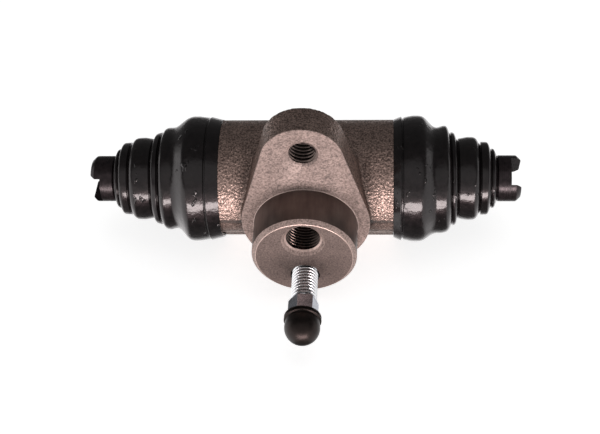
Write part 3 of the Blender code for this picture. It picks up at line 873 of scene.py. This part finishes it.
def sort_faces(body, settings):
    """Give each face the finish of the tool that made it, with painted shade on the clearance flat, the drillings and
    the mounting countersink's right half, and a painted highlight on the chamfers.
    """
    cast, milled, faced, turned, cut, worn, flat = range(7)
    mount_r = settings.mount_thread / 2 + MOUNT_EDGE
    port_r = settings.port_thread / 2
    port_mouth = PILOT_FACE - PORT_SPOT_DEPTH - PORT_CHAMFER
    holes = ((PORT_RISE, port_r), (-BLEED_DROP, BLEED_MOUTH_R), (MOUNT_RISE, mount_r))
    flat_way = Vector((0, -math.cos(FLAT_TILT), -math.sin(FLAT_TILT)))
    bm = bmesh.new()
    bm.from_mesh(body.data)
    for face in bm.faces:
        x, y, z = face.calc_center_median()
        from_bore = BORE_AXIS_Y - y
        facing = -face.normal.y
        from_port = math.hypot(x, z - PORT_RISE)
        finish = cast
        if facing > 0.99 and abs(from_bore - PAD_FACE) < 2e-5:
            finish = milled
        elif facing > 0.99 and abs(from_bore - PILOT_FACE) < 2e-5:
            finish = faced
        elif facing > 0.6 and from_bore > PAD_FACE - MOUNT_CHAMFER and math.hypot(x, z - MOUNT_RISE) < mount_r:
            # Painted shade: the right half of the mounting countersink takes the darker faced finish.
            finish = milled if x < 0 else faced
        elif facing > 0.3 and from_bore > port_mouth and from_port < PORT_SPOT_R:
            # Painted highlight: the port's mouth chamfer takes the bright edge finish.
            finish = worn if from_port < port_r else milled
        elif from_bore > 0 and any(math.hypot(x, z - rise) < outer + 2e-5 for rise, outer in holes):
            # Painted shade: the insides of the holes take the darker thread finish.
            finish = cut
        elif from_bore > PAD_FACE and from_port < PORT_SPOT_R + 2e-5:
            finish = faced
        elif from_bore > PAD_FACE + 2e-5 and math.hypot(x, z) < PILOT_R + 0.0005:
            # Painted highlight: the pilot's chamfer and edge take the bright edge finish.
            finish = worn if facing > 0.75 else milled if facing > 0.6 else turned
        elif from_bore > PAD_FACE - PAD_EDGE_BREAK - 2e-5 and facing > 0.6:
            finish = milled
        elif abs(x) > BARREL_HALF - 2e-5 or math.hypot(y - BORE_AXIS_Y, z) < BORE_R + 2e-5:
            finish = turned
        elif face.normal.dot(flat_way) > 0.999:
            # Painted shade: the downward facing clearance flat takes a darker copy of the cast skin.
            finish = flat
        face.material_index = finish
    for edge in bm.edges:
        if len({face.material_index for face in edge.link_faces}) > 1:
            edge.smooth = False
    bm.to_mesh(body.data)
    bm.free()


class WHEELCYL_OT_cast_body(bpy.types.Operator):
    """Cast the body, machine it, and cut its threads"""

    bl_idname = "wheelcyl.cast_body"
    bl_label = "Cast Body"

    def execute(self, context):
        settings = context.scene.wheelcyl_body
        body = build_casting(settings)
        machine_outside(body, settings.skin_cell)
        drill(body, settings)
        materials = [
            cast_skin_finish("sand_cast_iron", settings.skin_colour),
            milled_finish("milled_iron", settings.machined_colour, 0.2),
            milled_finish("faced_iron", shade(settings.machined_colour, 0.53), 0.5, 0.8),
            turned_finish(shade(settings.machined_colour, 0.50)),
            # Painted shade: a darker copy of the machined colour for the drillings.
            thread_finish(shade(settings.machined_colour, 0.36)),
            # Painted highlight: a brighter copy of the machined colour for chamfers.
            edge_highlight_finish(shade(settings.machined_colour, 1.75)),
            # Painted shade: a darker copy of the cast skin for the clearance flat.
            cast_skin_finish("cast_flat_painted_shade", shade(settings.skin_colour, 0.66)),
        ]
        finished(body, materials, "housing", ["housing"])
        sort_faces(body, settings)
        return {"FINISHED"}


def rounded(corners):
    """Round an open line's (x, y, rounding) corners, each with a short curve between its two sides."""
    points = [Vector(corner[:2]) for corner in corners]
    line = [points[0]]
    for before, point, after, corner in zip(points, points[1:], points[2:], corners[1:]):
        turn = abs((point - before).angle_signed(after - point))
        reach = corner[2] * math.tan(turn / 2)
        start, end = (point + way.normalized() * min(reach, way.length / 2) for way in (before - point, after - point))
        steps = max(2, round(turn / 0.16))
        for step in range(steps + 1):
            share = step / steps
            line.append(start.lerp(point, share).lerp(point.lerp(end, share), share))
    return [*line, points[-1]]


def boot_profile(side):
    """The boot's section from its mouth to its small end, and back along the inside."""
    corners = [tuple(value / 1000 for value in corner) for corner in BOOT_CORNERS[side]]
    length = corners[-1][0]
    seat_r = BOOT_SEAT_R + SEAT_GAP
    bead_r = BEAD_GROOVE_R + SEAT_GAP
    bead = (BEAD_GROOVE_START + SEAT_GAP - BOOT_MOUTH, BEAD_GROOVE_END - SEAT_GAP - BOOT_MOUTH)
    inner = [(0, seat_r), (bead[0], seat_r), (bead[0], bead_r), (bead[1], bead_r), (bead[1], seat_r)]
    stem_clear = STEM_R + SEAT_GAP
    small = length - (STEM_GROOVE_END - STEM_GROOVE_START - 2 * SEAT_GAP)
    small_r = STEM_GROOVE_R + SEAT_GAP
    inner += [(x, max(r - BOOT_WALL, stem_clear)) for x, r, _ in corners if bead[1] + BOOT_WALL < x < small]
    inner += [(small, stem_clear), (small, small_r), (length, small_r)]
    return [tuple(point) for point in rounded(corners)] + list(reversed(inner))


def settle(boot, side):
    """Lean the folds to one side and ripple the rubber a little, as the pistons leave it."""
    noise.seed_set(BOOT_RIPPLE_SEED)
    for vert in boot.data.vertices:
        out = Vector((0, vert.co.y - BORE_AXIS_Y, vert.co.z)).normalized()
        lean = out.dot(LEAN_DIRECTION)
        sign = math.copysign(1, vert.co.x)
        moved = noise.noise_vector(vert.co / BOOT_RIPPLE_SIZE) * BOOT_RIPPLE
        for centre, reach, outwards, along in BOOT_LEANS[side]:
            near = max(0, 1 - abs(abs(vert.co.x) - centre) / reach)
            near *= near * (3 - 2 * near)
            moved += near * lean * (outwards * out + Vector((sign * along, 0, 0)))
        vert.co += moved


class WHEELCYL_OT_boots(bpy.types.Operator):
    """Mould the two rubber boots, in the shape they have at rest"""

    bl_idname = "wheelcyl.boots"
    bl_label = "Boots"

    def execute(self, context):
        settings = context.scene.wheelcyl_boots
        rubber = boot_finish(settings.colour)
        for side, turn in (("left", math.pi), ("right", 0)):
            place = ON_BORE @ Matrix.Rotation(turn, 4, "Z") @ Matrix.Translation((BOOT_MOUTH, 0, 0))
            boot = as_object(lathe(boot_profile(side), settings.sides, place), f"{side}_bellows")
            settle(boot, side)
            finished(boot, [rubber], None, [f"{side}_boot"], math.radians(50))
            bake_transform(boot)
        return {"FINISHED"}


class WHEELCYL_OT_pistons(bpy.types.Operator):
    """Turn the two anodised pistons and mill the slots that take the shoes"""

    bl_idname = "wheelcyl.pistons"
    bl_label = "Pistons"

    def execute(self, context):
        settings = context.scene.wheelcyl_pistons
        anodised = piston_finish(settings.colour)
        profile = [
            (0, 0),
            (0, PISTON_R),
            (PISTON_BODY, PISTON_R),
            (PISTON_BODY, STEM_R),
            (STEM_GROOVE_START, STEM_R),
            (STEM_GROOVE_START, STEM_GROOVE_R),
            (STEM_GROOVE_END, STEM_GROOVE_R),
            (STEM_GROOVE_END, STEM_R),
            (PISTON_LENGTH - STEM_CHAMFER_LENGTH, STEM_R),
            (PISTON_LENGTH, STEM_R - STEM_CHAMFER_DEPTH),
            (PISTON_LENGTH, 0),
        ]
        for side, sign in (("left", -1), ("right", 1)):
            piston = as_object(soften(lathe(profile, settings.sides), 0.00022), f"{side}_plunger")
            near, far = PISTON_LENGTH - SLOT_DEPTH, PISTON_LENGTH + SLOT_DEPTH
            slot = block((near, -2 * STEM_R, -SLOT_WIDTH / 2), (far, 2 * STEM_R, SLOT_WIDTH / 2))
            carve(piston, slot, "DIFFERENCE")
            turn = Matrix.Rotation(0 if sign > 0 else math.pi, 4, "Z")
            out = Matrix.Translation((PISTON_REST[side], 0, 0))
            place = ON_BORE @ turn @ out @ Matrix.Rotation(-sign * SLOT_LEAN[side], 4, "X")
            piston.data.transform(place)
            finished(piston, [anodised], f"{side}_piston", [f"{side}_piston"])
        return {"FINISHED"}


def spring_half(end, steps, name):
    """Half of the return spring, from its middle turn out to one of its ends."""
    middle = sum(SPRING_ENDS) / 2
    count = round(SPRING_TURNS / 2 * steps)
    bm = bmesh.new()
    ring = bmesh.ops.create_circle(
        bm, cap_ends=True, radius=SPRING_WIRE_R, segments=12,
        matrix=Matrix.Translation((middle, 0, SPRING_R)) @ Matrix.Rotation(math.pi / 2, 4, "X"),
    )
    way = 1 if end > middle else -1
    bmesh.ops.spin(
        bm, geom=ring["verts"] + bm.edges[:] + bm.faces[:], cent=(middle, 0, 0), axis=(1, 0, 0),
        dvec=((end - middle) / count, 0, 0), angle=way * math.tau * SPRING_TURNS / 2, steps=count,
    )
    bmesh.ops.recalc_face_normals(bm, faces=bm.faces)
    bmesh.ops.transform(bm, matrix=ON_BORE, verts=bm.verts)
    return as_object(bm, name)


class WHEELCYL_OT_inner_parts(bpy.types.Operator):
    """Dress the cups and the pressed dishes, and wind the return spring between them"""

    bl_idname = "wheelcyl.inner_parts"
    bl_label = "Inner Parts"

    def execute(self, context):
        rubber = seal_finish()
        steel = steel_finish("spring_steel", (0.42, 0.41, 0.40))
        for side, end in zip(("left", "right"), SPRING_ENDS):
            for node, mat in (("cup", rubber), ("expander", steel)):
                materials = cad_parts[f"{side}_{node}"].data.materials
                materials.clear()
                materials.append(mat)
            half = spring_half(end, context.scene.wheelcyl_spring.wire_steps, f"{side}_spring_half")
            finished(half, [steel], None, ["return_spring"])
            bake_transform(half)
        return {"FINISHED"}


class WHEELCYL_OT_bleed_screw(bpy.types.Operator):
    """Make the plated bleed screw with its thread, hexagon, nipple and cross hole"""

    bl_idname = "wheelcyl.bleed_screw"
    bl_label = "Bleed Screw"

    def execute(self, context):
        settings = context.scene.wheelcyl_bleed
        root = SCREW_R - 0.00058
        cone = -BLEED_DEPTH + SEAT_GAP
        slope = BLEED_SEAT / (BLEED_HOLE_R - BLEED_PASSAGE_R)
        tip = cone - (SCREW_R - SCREW_TIP_R) * slope
        hex_end = SCREW_THREAD_OUT + HEX_HEIGHT
        nipple_end = hex_end + NIPPLE_LENGTH
        run_in = SCREW_THREAD_OUT + 1.25 * settings.pitch
        screw = as_object(threaded(cone, run_in, root, SCREW_R, settings.pitch), "bleed_nipple")
        carve(screw, lathe([
            (tip, 0),
            (tip, SCREW_TIP_R),
            (cone + (SCREW_R - root) * slope, root),
            (cone + 2 * settings.pitch, root + SLIVER),
            (cone + 2 * settings.pitch, 0),
        ], 56), "UNION")

        corner_r = HEX_ACROSS_FLATS / math.sqrt(3)
        flat_r = HEX_ACROSS_FLATS / 2
        rise = (corner_r - flat_r) / 2
        hexagon = as_object(lathe([
            (SCREW_THREAD_OUT, 0),
            (SCREW_THREAD_OUT, corner_r),
            (hex_end, corner_r),
            (hex_end, 0),
        ], 6, Matrix.Rotation(HEX_TURN, 4, "X")), "hexagon")
        carve(hexagon, lathe([
            (SCREW_THREAD_OUT - rise, 0),
            (SCREW_THREAD_OUT - rise, flat_r - rise),
            (SCREW_THREAD_OUT + 2 * rise, corner_r + 2 * rise),
            (hex_end - 2 * rise, corner_r + 2 * rise),
            (hex_end + rise, flat_r - rise),
            (hex_end + rise, 0),
        ], 72), "INTERSECT")
        bm = bmesh.new()
        bm.from_mesh(hexagon.data)
        bpy.data.objects.remove(hexagon)
        carve(screw, bm, "UNION")

        carve(screw, lathe([
            (SCREW_THREAD_OUT + 0.001, 0),
            (SCREW_THREAD_OUT + 0.001, NIPPLE_NECK_R),
            (hex_end + NIPPLE_LENGTH * 0.25, NIPPLE_NECK_R),
            (hex_end + NIPPLE_LENGTH * 0.40, NIPPLE_R),
            (hex_end + NIPPLE_LENGTH * 0.48, NIPPLE_R),
            (nipple_end, NIPPLE_NECK_R),
            (nipple_end, 0),
        ], 56), "UNION")
        carve(screw, lathe([
            (-CROSS_HOLE_DEPTH, 0),
            (-CROSS_HOLE_DEPTH, NIPPLE_BORE_R),
            (nipple_end + NIPPLE_BORE_R, NIPPLE_BORE_R),
            (nipple_end + NIPPLE_BORE_R, 0),
        ], 32), "DIFFERENCE")
        across = Matrix.Translation((-CROSS_HOLE_DEPTH + 2 * CROSS_HOLE_R, 0, 0)) @ Matrix.Rotation(math.pi / 2, 4, "Z")
        carve(screw, lathe([
            (-2 * SCREW_R, 0),
            (-2 * SCREW_R, CROSS_HOLE_R),
            (2 * SCREW_R, CROSS_HOLE_R),
            (2 * SCREW_R, 0),
        ], 24, across), "DIFFERENCE")
        materials = [
            plate_finish(settings.plate_colour),
            plated_thread_finish(settings.plate_colour, root, SCREW_R),
            hex_finish(settings.hex_shade_colour),
        ]
        finished(screw, materials, "bleed_screw", ["bleed_screw"])
        for face in screw.data.polygons:
            along, *across = face.center
            if cone < along < SCREW_THREAD_OUT - SLIVER:
                face.material_index = 1
            elif SCREW_THREAD_OUT <= along < hex_end and math.hypot(*across) > NIPPLE_R:
                # Painted shade: the hexagon's flats take the darker plate.
                face.material_index = 2
        screw.data.transform(BLEED_AXIS)
        return {"FINISHED"}


class WHEELCYL_OT_dust_cap(bpy.types.Operator):
    """Mould the rubber cap over the bleed nipple"""

    bl_idname = "wheelcyl.dust_cap"
    bl_label = "Dust Cap"

    def execute(self, context):
        mouth = SCREW_THREAD_OUT + HEX_HEIGHT + SEAT_GAP
        tip = mouth + CAP_LENGTH
        pocket_r = NIPPLE_R + SEAT_GAP
        pocket_end = SCREW_THREAD_OUT + HEX_HEIGHT + NIPPLE_LENGTH + SEAT_GAP
        dome = arc((tip - CAP_R, 0), CAP_R, math.pi / 2, 0, 16)
        lip = [
            (0.0, 4.3, 0.0), (0.0, 4.92, 0.08), (0.28, 4.92, 0.08), (0.45, 4.45, 0.15), (0.85, 4.45, 0.15),
            (0.95, CAP_RIM_R * 1000, 0.06), (1.2, CAP_RIM_R * 1000, 0.06), (1.4, 4.40, 0.2), (2.4, 4.66, 0.5),
            ((CAP_LENGTH - CAP_R) * 1000, CAP_R * 1000, 0.0),
        ]
        lip = [(mouth + x / 1000, r / 1000) for x, r in rounded(lip)]
        profile = [
            (mouth + 0.0004, pocket_r),
            *lip[:-1],
            *dome,
            (pocket_end, 0),
            (pocket_end, pocket_r),
        ]
        cap = as_object(lathe(profile, 96, BLEED_AXIS), "nipple_cap")
        mat = cap_finish(context.scene.wheelcyl_bleed.cap_colour)
        finished(cap, [mat], "dust_cap", ["dust_cap"], math.radians(50))
        return {"FINISHED"}


def area_light(name, place, target, size, power, colour=(1, 1, 1)):
    light = bpy.data.lights.new(name, "AREA")
    light.shape = "RECTANGLE"
    light.size, light.size_y = size
    light.energy = power
    light.color = colour
    obj = bpy.data.objects.new(name, light)
    obj.location = place
    obj.rotation_mode = "QUATERNION"
    obj.rotation_quaternion = (Vector(target) - Vector(place)).to_track_quat("-Z", "Y")
    obj.visible_camera = False
    bpy.context.scene.collection.objects.link(obj)
    return obj


def add_floor(low):
    """A white light table: it shows white, takes the object's shadow, and lets the low light through."""
    bm = bmesh.new()
    bmesh.ops.create_grid(bm, x_segments=2, y_segments=2, size=6, matrix=Matrix.Translation((0, 0, low)))
    floor = as_object(bm, "floor")
    floor.visible_glossy = False
    floor.visible_shadow = False
    mat = bpy.data.materials.new("white_table")
    mat.use_nodes = True
    tree = mat.node_tree
    tree.nodes.clear()
    path = tree.nodes.new("ShaderNodeLightPath")
    diffuse = tree.nodes.new("ShaderNodeBsdfDiffuse")
    diffuse.inputs["Color"].default_value = (0.85, 0.85, 0.85, 1)
    glow = tree.nodes.new("ShaderNodeEmission")
    level = tree.nodes.new("ShaderNodeMath")
    level.operation = "MULTIPLY"
    level.inputs[1].default_value = 0.80
    add = tree.nodes.new("ShaderNodeAddShader")
    output = tree.nodes.new("ShaderNodeOutputMaterial")
    tree.links.new(path.outputs["Is Camera Ray"], level.inputs[0])
    tree.links.new(level.outputs[0], glow.inputs["Strength"])
    tree.links.new(diffuse.outputs[0], add.inputs[0])
    tree.links.new(glow.outputs[0], add.inputs[1])
    tree.links.new(add.outputs[0], output.inputs["Surface"])
    floor.data.materials.append(mat)
    floor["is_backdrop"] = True


def add_world(ambient, dark):
    """White to the camera and where gloss sees the table behind and beside, and a dark room above for gloss."""
    world = bpy.data.worlds.new("studio")
    world.use_nodes = True
    bpy.context.scene.world = world
    tree = world.node_tree
    tree.nodes.clear()

    def math_node(operation, *values, clamp=False):
        node = tree.nodes.new("ShaderNodeMath")
        node.operation = operation
        node.use_clamp = clamp
        for socket, value in zip(node.inputs, values):
            if isinstance(value, (int, float)):
                socket.default_value = value
            else:
                tree.links.new(value, socket)
        return node.outputs[0]

    def smooth(value, start, end):
        node = tree.nodes.new("ShaderNodeMapRange")
        node.interpolation_type = "SMOOTHSTEP"
        node.inputs["From Min"].default_value = min(start, end)
        node.inputs["From Max"].default_value = max(start, end)
        node.inputs["To Min"].default_value = float(start > end)
        node.inputs["To Max"].default_value = float(start < end)
        tree.links.new(value, node.inputs["Value"])
        return node.outputs["Result"]

    direction = tree.nodes.new("ShaderNodeTexCoord").outputs["Generated"]
    axes = tree.nodes.new("ShaderNodeSeparateXYZ")
    tree.links.new(direction, axes.inputs[0])
    path = tree.nodes.new("ShaderNodeLightPath")
    x, y, z = (axes.outputs[axis] for axis in "XYZ")
    table = math_node("MULTIPLY", smooth(y, -0.10, 0.50), smooth(z, -0.15, -0.55))
    sides = math_node("MULTIPLY", smooth(math_node("ABSOLUTE", x), 0.28, 0.55), smooth(z, 0.45, 0.10))
    sides = math_node("MULTIPLY", sides, smooth(y, 0.62, 0.35))
    ceiling = math_node("MULTIPLY", smooth(y, 0.05, -0.45), smooth(z, 0.30, 0.60))
    ceiling = math_node("MULTIPLY", ceiling, 0.40)
    halo = math_node("MULTIPLY", smooth(y, -0.45, -0.90), smooth(z, 0.85, 0.20))
    halo = math_node("MULTIPLY", math_node("MULTIPLY", halo, smooth(z, -0.35, -0.10)), 0.50)
    sides = math_node("MULTIPLY", sides, math_node("MULTIPLY_ADD", x, -0.18, 0.95))
    ceiling = math_node("MAXIMUM", ceiling, halo)
    shown = math_node("MAXIMUM", math_node("MAXIMUM", table, sides), math_node("MAXIMUM", ceiling, dark))
    gloss = math_node("MAXIMUM", path.outputs["Is Glossy Ray"], path.outputs["Is Transmission Ray"])
    lit = math_node("ADD", ambient, math_node("MULTIPLY", gloss, math_node("SUBTRACT", shown, ambient)))
    strength = math_node("MAXIMUM", lit, path.outputs["Is Camera Ray"])
    background = tree.nodes.new("ShaderNodeBackground")
    tree.links.new(strength, background.inputs["Strength"])
    background.inputs["Color"].default_value = (1, 1, 1, 1)
    output = tree.nodes.new("ShaderNodeOutputWorld")
    tree.links.new(background.outputs[0], output.inputs["Surface"])


class WHEELCYL_OT_studio(bpy.types.Operator):
    """Set up the white table, the lights and the camera"""

    bl_idname = "wheelcyl.studio"
    bl_label = "Studio"

    def execute(self, context):
        settings = context.scene.wheelcyl_studio
        low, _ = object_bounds()
        add_floor(low.z - 0.0001)
        add_world(settings.ambient, settings.dark_room)
        middle = (0, BORE_AXIS_Y, 0)
        area_light("window", (0.03, -0.56, -0.10), middle, (0.55, 0.16), settings.key_power, (1, 0.90, 0.89))
        overhead = area_light("overhead", (0.1, 0.15, 0.7), middle, (0.7, 0.7), 0.6)
        overhead.visible_glossy = False

        camera = bpy.data.objects.new("camera", bpy.data.cameras.new("camera"))
        camera.matrix_world = CAMERA
        camera.data.lens = CAMERA_LENS
        camera.data.sensor_width = 36
        camera.data.clip_start = 0.01
        camera.data.clip_end = 20
        context.scene.collection.objects.link(camera)
        context.scene.camera = camera
        context.scene.view_settings.view_transform = "Standard"
        return {"FINISHED"}


class WHEELCYL_PT_build(bpy.types.Panel):
    """The steps that build the wheel cylinder, with their settings"""

    bl_idname = "WHEELCYL_PT_build"
    bl_label = "Wheel Cylinder"
    bl_space_type = "VIEW_3D"
    bl_region_type = "UI"
    bl_category = "Wheel Cylinder"

    def draw(self, context):
        for attribute, operator in STEPS:
            box = self.layout.box()
            box.operator(operator)
            if attribute:
                group = getattr(context.scene, attribute)
                for name in group.bl_rna.properties.keys():
                    if name not in ("rna_type", "name"):
                        box.prop(group, name)


SETTINGS = (
    ("wheelcyl_body", CastBodySettings),
    ("wheelcyl_boots", BootSettings),
    ("wheelcyl_pistons", PistonSettings),
    ("wheelcyl_spring", SpringSettings),
    ("wheelcyl_bleed", BleedSettings),
    ("wheelcyl_studio", StudioSettings),
)
STEPS = (
    ("wheelcyl_body", "wheelcyl.cast_body"),
    ("wheelcyl_boots", "wheelcyl.boots"),
    ("wheelcyl_pistons", "wheelcyl.pistons"),
    ("wheelcyl_spring", "wheelcyl.inner_parts"),
    ("wheelcyl_bleed", "wheelcyl.bleed_screw"),
    (None, "wheelcyl.dust_cap"),
    ("wheelcyl_studio", "wheelcyl.studio"),
)
CLASSES = (
    *(group for _, group in SETTINGS),
    WHEELCYL_OT_cast_body,
    WHEELCYL_OT_boots,
    WHEELCYL_OT_pistons,
    WHEELCYL_OT_inner_parts,
    WHEELCYL_OT_bleed_screw,
    WHEELCYL_OT_dust_cap,
    WHEELCYL_OT_studio,
    WHEELCYL_PT_build,
)


def register():
    for cls in CLASSES:
        bpy.utils.register_class(cls)
    for attribute, group in SETTINGS:
        setattr(bpy.types.Scene, attribute, PointerProperty(type=group))


def unregister():
    for attribute, _ in SETTINGS:
        delattr(bpy.types.Scene, attribute)
    for cls in reversed(CLASSES):
        bpy.utils.unregister_class(cls)


def main():
    register()
    bpy.ops.wheelcyl.cast_body()
    bpy.ops.wheelcyl.boots()
    bpy.ops.wheelcyl.pistons()
    bpy.ops.wheelcyl.inner_parts()
    bpy.ops.wheelcyl.bleed_screw()
    bpy.ops.wheelcyl.dust_cap()
    bpy.ops.wheelcyl.studio()


if __name__ == "__main__":
    main()
